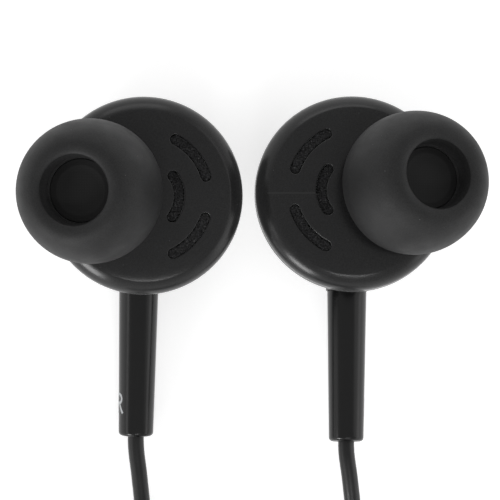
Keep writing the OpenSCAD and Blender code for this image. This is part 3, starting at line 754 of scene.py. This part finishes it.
def earTipShape():
    e = earTip
    shares = [k / 12 for k in range(12)]
    front, rear, sleeveRear = e["front"], -e["rear"], e["sleeveRear"]
    step = nozzle["reach"] + 0.1
    # the sleeve's bore, the opening and its lip
    profile = filleted([
        (e["sleeveR"] + 0.08, sleeveRear, 0.04), (e["sleeveR"], sleeveRear + 0.1, 0.04),
        (e["sleeveR"], step, 0.02), (e["openingR"], step, 0.04), (e["openingR"], front - 2 * e["lip"], 0),
        (e["mouthR"], front - e["lip"], 0)])
    profile += arc(e["crestR"], front - e["lip"], e["mouthR"] - e["crestR"], e["lip"], 0, 90, 10)[1:]
    # the dome, then the outside of the skirt
    for k in range(43, -1, -1):
        height = front * math.sin(math.radians(90 * k / 44))
        profile.append((domeRadius(height), height))
    profile += skirtCurve(e["r"], e["skirtR"], shares[1:])
    edge = e["skirtR"] - e["skirtWall"]
    profile += [(e["skirtR"], rear + 0.08), (e["skirtR"] - 0.05, rear + 0.02), (e["skirtR"] - 0.14, rear),
                (edge + 0.1, rear), (edge + 0.02, rear + 0.05)]
    # the inside of the skirt, the hollow over the sleeve and the sleeve's outside
    hollow = e["r"] - e["shoulderWall"]
    profile += skirtCurve(hollow, edge, reversed(shares))
    profile += arc(e["sleeveOut"], 0, hollow - e["sleeveOut"], front - e["crownWall"], 0, 90, 25)[1:-1]
    profile += [(e["sleeveOut"], front - e["crownWall"] - 0.05), (e["sleeveOut"], sleeveRear + 0.25),
                (e["sleeveOut"] - 0.06, sleeveRear + 0.08), (e["sleeveOut"] - 0.2, sleeveRear)]
    return lathe(profile, e["sides"])


# distances from the housing's axis; the spigot is what sits in the neck
stem = {
    "depth": 5.2, "r": 1.7, "endR": 1.5, "reach": 20.8, "round": 0.35, "boreR": 0.95, "lipR": 0.75,
    "lipL": 1.2, "spigotR": 1.3, "spigotL": 1.4, "gap": 0.02, "collarR": 1.82, "collarInR": 1.2,
    "collarReach": 7.8,
    # the neck: radius and distance
    "flare": [(2.5, 5.6), (2.42, 5.8), (2.2, 6.1), (2.02, 6.5), (1.9, 6.9), (1.84, 7.3), (1.82, 7.5)],
    "sides": 96, "collarSides": 80,
}


def stemFrame():
    return Matrix.Translation((0, 0, -stem["depth"])) @ turned(90, "X")


def collarShape():
    # the neck flares where it meets the shell, and is flat underneath as the shell is
    s = stem
    reach = s["collarReach"]
    profile = [(0, s["flare"][0][1])] + s["flare"][:-1]
    profile += filleted([(*s["flare"][-1], 0), (s["collarR"], reach, 0.12), (s["collarInR"], reach, 0)])
    verts, faces = lathe(profile + [(0, reach)], s["collarSides"], closed=False)
    return [Vector((v.x, max(v.y, -s["collarR"]), v.z)) for v in verts], faces


def stemShape():
    s = stem
    start = s["collarReach"] + s["gap"]
    spigot = s["collarReach"] - s["spigotL"]
    # the last corner only gives the edge's curve its direction
    profile = filleted([
        (s["boreR"], spigot, 0), (s["spigotR"], spigot, 0.1), (s["spigotR"], start, 0), (s["r"], start, 0.07),
        (s["endR"] + 0.02, s["reach"] - 1, 0)])[:-1]
    taper = s["reach"] - s["round"] - s["collarReach"]
    for k in range(1, 16):
        t = k / 16
        profile.append((s["r"] + (s["endR"] - s["r"]) * t, s["collarReach"] + taper * t))
    profile += arc(s["endR"] - s["round"], s["reach"] - s["round"], s["round"], s["round"], 0, 90, 8)
    lip = s["reach"] - s["lipL"]
    profile += filleted([(s["lipR"], s["reach"], 0.06), (s["lipR"], lip, 0), (s["boreR"], lip, 0)])
    return lathe(profile, s["sides"])


def makeEar(side, kinds):
    place = earFrame(side)
    nozzlePlace, stemPlace = nozzleFrame(), stemFrame()
    offNozzle = nozzlePlace.inverted()

    def inMouth(p):
        p = offNozzle @ p
        return p.z > nozzle["reach"] - 1 and p.xy.length < nozzle["barbR"] + 0.1

    def inOpening(p):
        return (offNozzle @ p).xy.length < earTip["mouthR"] + 0.01

    def add(name, shape, finish, slotName, node, **settings):
        makePiece(side + name, shape, kinds[finish], slotName, [side + node], place, **settings)

    front = joined([frontShellShape(), bossShape(), moved(nozzleShape(), nozzlePlace)])
    # the nozzle's mouth and the tip's opening take the lining, with its painted fill light
    add("FrontShell", front, "shell", "housing", "_front_shell", lining=(kinds["lining"], inMouth))
    rear = joined([rearShellShape(), moved(collarShape(), stemPlace)])
    add("RearShell", rear, "shell", "housing", "_rear_shell")
    add("Stem", moved(stemShape(), stemPlace), "gloss", "stem", "_stem")
    add("NozzleMesh", moved(meshShape(), nozzlePlace), "mesh", "mesh", "_nozzle_mesh")
    add("VentFoam", foamShape(), "foam", "felt", "_vent_felt", sharp=80)
    add("EarTip", moved(earTipShape(), nozzlePlace), "silicone", "silicone", "_ear_tip",
        body=side + "_tip", sharp=60, lining=(kinds["lining"], inOpening))
    print(side, "earphone made")


# plain side letters; along is their distance from the housing's axis, turn their place round the stem
marks = {
    "height": 1.78, "width": 1.15, "stroke": 0.24, "along": 17.95, "lift": 0.012,
    "turn": {"right": 73, "left": 112},
}


def strokes(letter):
    # middle lines of a plain letter in a box one unit wide and high
    if letter == "L":
        return [[(0, 1), (0, 0), (1, 0)]]
    bowl = arc(0.5, 0.75, 0.42, 0.25, 90, -90, 12)
    return [[(0, 0), (0, 1)] + bowl + [(0, 0.5)], [(0.48, 0.5), (1, 0)]]


def wrapped(side, x, y):
    # a flat point wrapped round the stem, a hair over its surface
    reach = marks["along"] - y
    taper = (reach - stem["collarReach"]) / (stem["reach"] - stem["collarReach"])
    r = stem["r"] + (stem["endR"] - stem["r"]) * taper + marks["lift"]
    turn = math.radians(marks["turn"][side]) + ears[side]["outward"] * x / r
    return Vector((r * math.sin(turn), -reach, r * math.cos(turn) - stem["depth"]))


def strokeLine(line):
    # a stroke's middle line in small steps, at its real size
    path = []
    for a, b in zip(line, line[1:]):
        path += [(a[0] + (b[0] - a[0]) * k / 6, a[1] + (b[1] - a[1]) * k / 6) for k in range(6)]
    wide, high = marks["width"] - marks["stroke"], marks["height"] - marks["stroke"]
    return [Vector(((u - 0.5) * wide, (v - 0.5) * high)) for u, v in path + [line[-1]]]


def markShape(letter, side):
    half = marks["stroke"] / 2
    verts, faces = [], []
    for line in strokes(letter):
        flat = strokeLine(line)
        last = len(flat) - 1
        start = len(verts)
        for k, p in enumerate(flat):
            way = (flat[min(k + 1, last)] - flat[max(k - 1, 0)]).normalized()
            over = Vector((-way.y, way.x)) * half
            beyond = way * (half if k == last else -half if k == 0 else 0)
            verts += [wrapped(side, q.x, q.y) for q in (p + over + beyond, p - over + beyond)]
        faces += [[a, a + 1, a + 3, a + 2] for a in range(start, start + 2 * last, 2)]
    return verts, faces


def makeMarks(kinds):
    for side, letter in (("right", "R"), ("left", "L")):
        makePiece(side + "Mark", markShape(letter, side), kinds["mark"], "stem", place=earFrame(side))
    print("side marks made")


cord = {"r": 0.7, "sides": 14, "step": 0.6, "outOfStem": 0.4}
# angles in degrees: where each strand comes in, where it turns back outwards and where it goes out;
# the two branches are wound as a pair, with the trunk over them
coil = {
    "at": (0.0, -47.0), "r": 15.5, "lift": 0.5, "gap": 0.45, "ringsALoop": 72, "straight": 1.4,
    "from": {"right": 180, "left": 80}, "pairTurnsAt": 975, "pairTo": 1740,
    "trunkFrom": 90, "trunkTurnsAt": 1935, "trunkLayer": 2,
}
# listed points: in to the coil and out of it
routes = {
    "right": {
        "in": [(-8.9, -18, 1.25), (-8.6, -21, 1), (-8.6, -24.5, 1), (-9.2, -28, 1), (-10.5, -31.4, 1),
               (-12.3, -34.7, 1), (-14, -38, 1.1), (-15.2, -41.6, 1.2)],
        "out": [(11.1, -58.15, 3.05), (13.2, -56.95, 3), (15.2, -55.75, 2.8), (17, -54.4, 2.5),
                (18.3, -52.65, 2.25), (19.15, -50.6, 2.05)],
    },
    "left": {
        "in": [(9, -18, 4.8), (9.4, -20.8, 4.1), (9.75, -24, 3), (9.7, -27.2, 2), (8.7, -30.3, 1.4),
               (6.7, -32.3, 1.2)],
        "out": [(10.1, -56.55, 3.05), (12.2, -55.35, 3), (14.2, -54.2, 2.8), (15.6, -53.15, 2.5),
                (16.7, -51.75, 2.25), (17.3, -50.1, 2.05)],
    },
    "trunk": {
        "in": [(17.7, -31.1, 2.3), (15.5, -28.9, 2.9), (12.6, -28.05, 3.5), (9.6, -28.5, 4.1),
               (6.8, -29.7, 4.6), (4.3, -30.8, 4.9)],
        "out": [(-15.8, -52, 6.4), (-16.6, -56, 5.6), (-17.2, -60, 4.8), (-16.8, -63.6, 4.2),
                (-15.2, -66.6, 3.8), (-12.9, -68.5, 3.6), (-11.2, -69, 3.5)],
    },
}


def smoothRoute(points, step):
    # a curve through the points, its own points about a step apart
    gaps = [(b - a).length for a, b in zip(points, points[1:])]
    ways = [(points[1] - points[0]).normalized()]
    for k in range(1, len(points) - 1):
        before = (points[k] - points[k - 1]) / gaps[k - 1]
        after = (points[k + 1] - points[k]) / gaps[k]
        ways.append((before * gaps[k] + after * gaps[k - 1]).normalized())
    ways.append((points[-1] - points[-2]).normalized())
    route = []
    for k, gap in enumerate(gaps):
        count = max(1, round(gap / step))
        for j in range(count):
            t = j / count
            route.append((1 + 2 * t) * (1 - t) ** 2 * points[k] + t * (1 - t) ** 2 * gap * ways[k]
                         + t * t * (3 - 2 * t) * points[k + 1] - t * t * (1 - t) * gap * ways[k + 1])
    route.append(points[-1])
    return route


def tube(route, r, sides):
    rings = []
    last = len(route) - 1
    for k, p in enumerate(route):
        way = (route[min(k + 1, last)] - route[max(k - 1, 0)]).normalized()
        side = Vector((0, 0, 1)).cross(way).normalized()
        up = way.cross(side)
        rings.append([p + u * side + v * up for u, v in circle(r, sides)])
    return capped(skin(rings), sides)


def coilPitch():
    return 2 * cord["r"] + coil["gap"]


def coilPoint(a, turnsAt, leastR, step, layer):
    # a strand winds in to its least radius, climbs a layer and winds out again
    r = leastR + step * abs(a - turnsAt) / 360
    z = coil["lift"] + cord["r"] + coilPitch() * (layer + smoothStep((a - turnsAt + 90) / 180))
    x, y = coil["at"]
    turn = math.radians(a)
    return Vector((x + r * math.cos(turn), y + r * math.sin(turn), z))


def coilRoute(start, turnsAt, leastR, step, layer, end):
    # the wound turns, with a short straight at each end
    count = round((end - start) * coil["ringsALoop"] / 360)
    turns = [coilPoint(start + (end - start) * k / count, turnsAt, leastR, step, layer)
             for k in range(count + 1)]
    ends = []
    for angle in (start, end):
        turn = math.radians(angle)
        ends.append(coil["straight"] * Vector((-math.sin(turn), math.cos(turn), 0)))
    return ([turns[0] - ends[0], turns[0] - ends[0] / 2] + turns
            + [turns[-1] + ends[1] / 2, turns[-1] + ends[1]])


def throughCoil(start, wound, end):
    # a free stretch, the wound turns and another free stretch
    before = smoothRoute(start + wound[:2], cord["step"])
    return before + wound[2:-2] + smoothRoute(wound[-2:] + end, cord["step"])


def layCord(name, route, kinds, nodes):
    piece = makePiece(name, tube(route, cord["r"], cord["sides"]), kinds["jacket"], "cord", nodes)


def stemEnd(side, beyond):
    return earFrame(side) @ Vector((0, -stem["reach"] - beyond, -stem["depth"]))


def layBranch(side, kinds):
    # the left strand lies inside the right one all the way
    step = 2 * coilPitch()
    leastR = coil["r"] - step * (coil["pairTurnsAt"] - coil["from"]["right"]) / 360
    if side == "left":
        leastR -= coilPitch()
    wound = coilRoute(coil["from"][side], coil["pairTurnsAt"], leastR, step, 0, coil["pairTo"])
    x, y = splitter["at"]
    x += splitter["side"] if side == "right" else -splitter["side"]
    z = splitter["z"]
    start = [stemEnd(side, 0), stemEnd(side, cord["outOfStem"])] + vectors(routes[side]["in"])
    end = vectors(routes[side]["out"] + [(x, y - splitter["straightIn"], z), (x, y, z)])
    layCord(side + "Branch", throughCoil(start, wound, end), kinds,
            [side + "_lead", side + "_lead_coil", side + "_lead_out"])


def layTrunk(kinds):
    first, middle = coil["trunkFrom"], coil["trunkTurnsAt"]
    leastR = coil["r"] - coilPitch() * (middle - first) / 360
    wound = coilRoute(first, middle, leastR, coilPitch(), coil["trunkLayer"], 2 * middle - first)
    x, y = splitter["at"]
    y += splitter["length"]
    z = splitter["z"]
    start = vectors([(x, y, z), (x, y + splitter["straightOut"], z)] + routes["trunk"]["in"])
    end = vectors(routes["trunk"]["out"] + [(*plug["at"], plug["gripR"])])
    layCord("trunk", throughCoil(start, wound, end), kinds,
            ["trunk_start", "trunk_coil", "trunk_end"])


# body and neck are shares of the length
splitter = {
    "at": (18.5, -47.5), "z": 2.0, "length": 12.0, "width": 4.6, "thickness": 3.4, "side": 0.95,
    "body": 0.6, "neck": 0.38, "neckOver": 0.9, "round": 0.3, "straightIn": 0.9, "straightOut": 1.4,
    "sides": 48,
}


def loft(sections, sides):
    # sections of (reach, width, thickness) along x, each a rounded oblong
    rings = []
    for reach, width, thickness in sections:
        flat = (width - thickness) / 2
        outline = circle(thickness / 2, sides, 0.5)
        rings.append([Vector((reach, y + math.copysign(flat, y), z)) for y, z in outline])
    return capped(skin(rings), sides)


def makeSplitter(kinds):
    s = splitter
    width, thickness, length = s["width"], s["thickness"], s["length"]
    narrow = 2 * cord["r"] + s["neckOver"]
    body = s["body"] * length
    sections = [(0, width - 0.5, thickness - 0.5), (0.08, width - 0.2, thickness - 0.2)]
    sections += [(s["round"] + (body - s["round"]) * k / 8, width, thickness) for k in range(9)]
    for k in range(1, 13):
        t = smoothStep(k / 12)
        sections.append((body + s["neck"] * length * k / 12, width + (narrow - width) * t,
                         thickness + (narrow - thickness) * t))
    sections += [(length - 0.05, narrow - 0.1, narrow - 0.1), (length, narrow - 0.3, narrow - 0.3)]
    place = Matrix.Translation((*s["at"], s["z"])) @ turned(90, "Z")
    makePiece("ySplitter", loft(sections, s["sides"]), kinds["grip"], "grip", ["splitter"], place)


tie = {"width": 3.0, "thickness": 0.5, "bend": 1.0, "edge": 0.2}


def roundedBox(halfX, halfY, radius, steps):
    # (x, y, angle) round a rectangle with round corners
    outline = []
    for quarter, (right, up) in enumerate(((1, 1), (-1, 1), (-1, -1), (1, -1))):
        x, y = right * (halfX - radius), up * (halfY - radius)
        for k in range(steps + 1):
            a = math.radians(90 * (quarter + k / steps))
            outline.append((x + radius * math.cos(a), y + radius * math.sin(a), a))
    return outline


def makeTie(kinds):
    # a flat strap round the coil's strands, as large as the CAD's
    low, high = (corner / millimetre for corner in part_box("cable_tie"))
    half = (high - low) / 2
    thick = tie["thickness"] / 2
    section = roundedBox(tie["width"] / 2, thick, tie["edge"], 3)
    rings = []
    for y, z, a in roundedBox(half.y - thick, half.z - thick, tie["bend"], 8):
        point = Vector((0, (low.y + high.y) / 2 + y, (low.z + high.z) / 2 + z))
        out = Vector((0, math.cos(a), math.sin(a)))
        rings.append([point + Vector((x, 0, 0)) + out * lift for x, lift, _ in section])
    makePiece("cableTie", skin(rings, closed=True), kinds["grip"], "tie", ["cable_tie"])


# everything lies along the plug's own axis, from the cord outwards
plug = {
    "at": (-10.0, -69.0),
    "reliefL": 7.0, "reliefR": 2.3, "reliefWall": 0.6, "reliefRibs": 4, "reliefRibH": 0.25, "reliefSides": 64,
    "gripL": 16.0, "gripR": 3.5, "gripSides": 96, "neckWall": 0.3, "shoulder": 1.6,
    "ribs": 7, "ribsFrom": 4.2, "ribPitch": 1.05,
    # a groove between ribs: depth and reach
    "groove": [(0, 0), (0.05, 0.06), (0.16, 0.16), (0.16, 0.3), (0.05, 0.4), (0, 0.46)],
    # the contacts and the bands between them, as shares of the pin
    "pinR": 1.75, "pinL": 14.0, "sleeve": 0.47, "band": 0.055, "ring": 0.185, "bandIn": 0.03, "pinSides": 72,
    # the tip: shares of the pin's radius and of its own length, then a fillet
    "tip": [(1, 0, 0.05), (1, 0.12, 0.2), (0.72, 0.36, 0.3), (0.86, 0.56, 0.2), (0.8, 0.68, 0.2),
            (0.3, 0.97, 0.15), (0.2, 1, 0.1)],
}


def reliefShape():
    p = plug
    length, bore, end = p["reliefL"], cord["r"] + 0.02, cord["r"] + p["reliefWall"]
    pitch = length / (p["reliefRibs"] + 1)
    corners = [(bore, 0, 0), (end - 0.1, 0, 0.1)]
    for k in range(p["reliefRibs"]):
        r = end + (p["reliefR"] - end) * (k + 1) / (p["reliefRibs"] + 1)
        low = r - p["reliefRibH"]
        x, half = pitch * (k + 0.5), pitch / 2
        corners += [(r, x, 0.12), (r, x + half, 0.12), (low, x + half, 0.08), (low, x + pitch, 0.08)]
    corners += [(p["reliefR"], length * 0.9, 0.1), (p["reliefR"], length, 0), (bore, length, 0)]
    return lathe(filleted(corners, 4), p["reliefSides"])


def gripShape():
    p = plug
    length, r, shoulder = p["gripL"], p["gripR"], p["shoulder"]
    neck = p["reliefR"] + p["neckWall"]
    profile = filleted([(0, 0, 0), (neck, 0, 0.15), (neck, 0.4, 0)], 4)[:-1]
    profile += arc(neck, shoulder, r - neck, shoulder, -90, 0, 12)[1:]
    for k in range(p["ribs"]):
        x = p["ribsFrom"] + k * p["ribPitch"]
        profile += [(r - depth, x + reach) for depth, reach in p["groove"]]
    profile += filleted([(r, length - 1.2, 0), (r, length, 0.45), (0, length, 0)], 6)
    return lathe(profile, p["gripSides"], closed=False)


def pinPieces():
    # (name, length, corners, finish, node) of each, from the grip outwards
    p = plug
    r, bandR = p["pinR"], p["pinR"] - p["bandIn"]
    sleeve, band, ring = (p[key] * p["pinL"] for key in ("sleeve", "band", "ring"))
    tip = p["pinL"] - sleeve - 2 * band - ring
    bandCorners = [(0, 0, 0), (bandR, 0, 0), (bandR, band, 0), (0, band, 0)]
    sleeveCorners = [(0, 0, 0), (r, 0, 0), (r, sleeve, 0.05), (0, sleeve, 0)]
    ringCorners = [(0, 0, 0), (r, 0, 0.05), (r, ring, 0.05), (0, ring, 0)]
    tipCorners = [(r * share, tip * reach, fillet) for share, reach, fillet in p["tip"]]
    return [
        ("pinSleeve", sleeve, sleeveCorners, "contact", "plug_sleeve"),
        ("rearBand", band, bandCorners, "band", "plug_rear_band"),
        ("pinRing", ring, ringCorners, "contact", "plug_ring"),
        ("frontBand", band, bandCorners, "band", "plug_front_band"),
        ("pinTip", tip, [(0, 0, 0)] + tipCorners + [(0, tip, 0)], "contact", "plug_tip"),
    ]


def makePlug(kinds):
    def place(x):
        return Matrix.Translation((plug["at"][0] + x, plug["at"][1], plug["gripR"])) @ turned(90, "Y")

    makePiece("strainRelief", reliefShape(), kinds["grip"], "grip", ["plug_strain_relief"], place(0))
    makePiece("plugGrip", gripShape(), kinds["grip"], "grip", ["plug_grip"], place(plug["reliefL"]))
    x = plug["reliefL"] + plug["gripL"]
    for name, length, corners, finish, node in pinPieces():
        shape = lathe(filleted(corners), plug["pinSides"], closed=False)
        makePiece(name, shape, kinds[finish], finish, [node], place(x), sharp=30)
        x += length
    print("splitter, tie and plug made")


# side is the angle from straight above, in degrees; scale is in pixels to the millimetre
view = {
    "target": (0.17, 1.62, 6.5), "side": 6.28, "distance": 212.0, "scale": 11.76, "pixels": 500.0,
    "sensor": 36, "nearest": 0.01,
}


def makeCamera():
    side = math.radians(view["side"])
    place = Vector(view["target"]) + view["distance"] * Vector((-math.sin(side), 0, math.cos(side)))
    lens = bpy.data.cameras.new("camera")
    lens.sensor_width = view["sensor"]
    lens.lens = view["sensor"] * view["scale"] * view["distance"] / view["pixels"]
    lens.clip_start = view["nearest"]
    camera = bpy.data.objects.new("camera", lens)
    camera.matrix_world = Matrix.Translation(place * millimetre) @ Matrix.Rotation(-side, 4, "Y")
    scene.collection.objects.link(camera)
    scene.camera = camera


studio = {
    "floorHalf": 3.0, "floorDrop": 0.02, "paper": 0.82, "glow": 0.57,
    # brightness of the room by height of the direction: white at the horizon, softer overhead
    "sky": [(0.0, 1.0), (0.22, 1.0), (0.45, 0.5), (1.0, 0.5)],
    # name, place in millimetres, size in millimetres, power
    "lamps": [
        ("lowLeft", (-179, -228, 79), (110, 90), 0.38),
        ("highFront", (12, -190, 236), (120, 30), 0.12),
        ("highRight", (225, 90, 195), (300, 110), 0.06),
        ("leftStrip", (-276, -52, 116), (135, 60), 0.04),
        ("lowBack", (-25, 286, 104), (220, 80), 0.08),
        ("right", (279, -73, 89), (250, 120), 0.09),
    ],
}


def makeFloor():
    half = studio["floorHalf"]
    mesh = bpy.data.meshes.new("floor")
    corners = [(-half, -half, 0), (half, -half, 0), (half, half, 0), (-half, half, 0)]
    mesh.from_pydata(corners, [], [(0, 1, 2, 3)])
    floor = bpy.data.objects.new("floor", mesh)
    scene.collection.objects.link(floor)
    floor.location.z = -studio["floorDrop"] * millimetre
    tone = studio["paper"]
    paper = newMaterial("floorPaper", (tone, tone, tone), Roughness=0.9, Specular_IOR_Level=0.1)
    # white to the camera and in reflections, with the shadows kept
    rays = addNode(paper, "ShaderNodeLightPath").outputs
    seen = maths(paper, "MAXIMUM", rays["Is Camera Ray"], rays["Is Glossy Ray"])
    seen = maths(paper, "MAXIMUM", seen, rays["Is Transmission Ray"])
    feed(paper, Emission_Color=1, Emission_Strength=maths(paper, "MULTIPLY", seen, studio["glow"]))
    mesh.materials.append(paper)


def makeWorld():
    world = bpy.data.worlds.new("world")
    scene.world = world
    world.use_nodes = True
    world.node_tree.nodes.clear()
    way = addNode(world, "ShaderNodeTexCoord").outputs["Generated"]
    height = addNode(world, "ShaderNodeSeparateXYZ", Vector=way).outputs["Z"]
    sky = addNode(world, "ShaderNodeBackground", Color=ramp(world, height, studio["sky"]))
    addNode(world, "ShaderNodeOutputWorld", Surface=sky.outputs[0])


def makeLamps():
    aim = Vector(view["target"])
    for name, place, size, power in studio["lamps"]:
        data = bpy.data.lights.new(name, "AREA")
        data.shape = "RECTANGLE"
        data.size, data.size_y = size[0] * millimetre, size[1] * millimetre
        data.energy = power
        lamp = bpy.data.objects.new(name, data)
        lamp.location = Vector(place) * millimetre
        lamp.rotation_euler = (Vector(place) - aim).to_track_quat("Z", "Y").to_euler()
        scene.collection.objects.link(lamp)


makeCamera()
kinds = makeMaterials()
for side in ears:
    layBranch(side, kinds)
layTrunk(kinds)
for side in ears:
    makeEar(side, kinds)
makeMarks(kinds)
makeSplitter(kinds)
makeTie(kinds)
makePlug(kinds)
dressInside(kinds)
makeFloor()
makeWorld()
makeLamps()
scene.view_settings.view_transform = "Standard"
print("studio made")
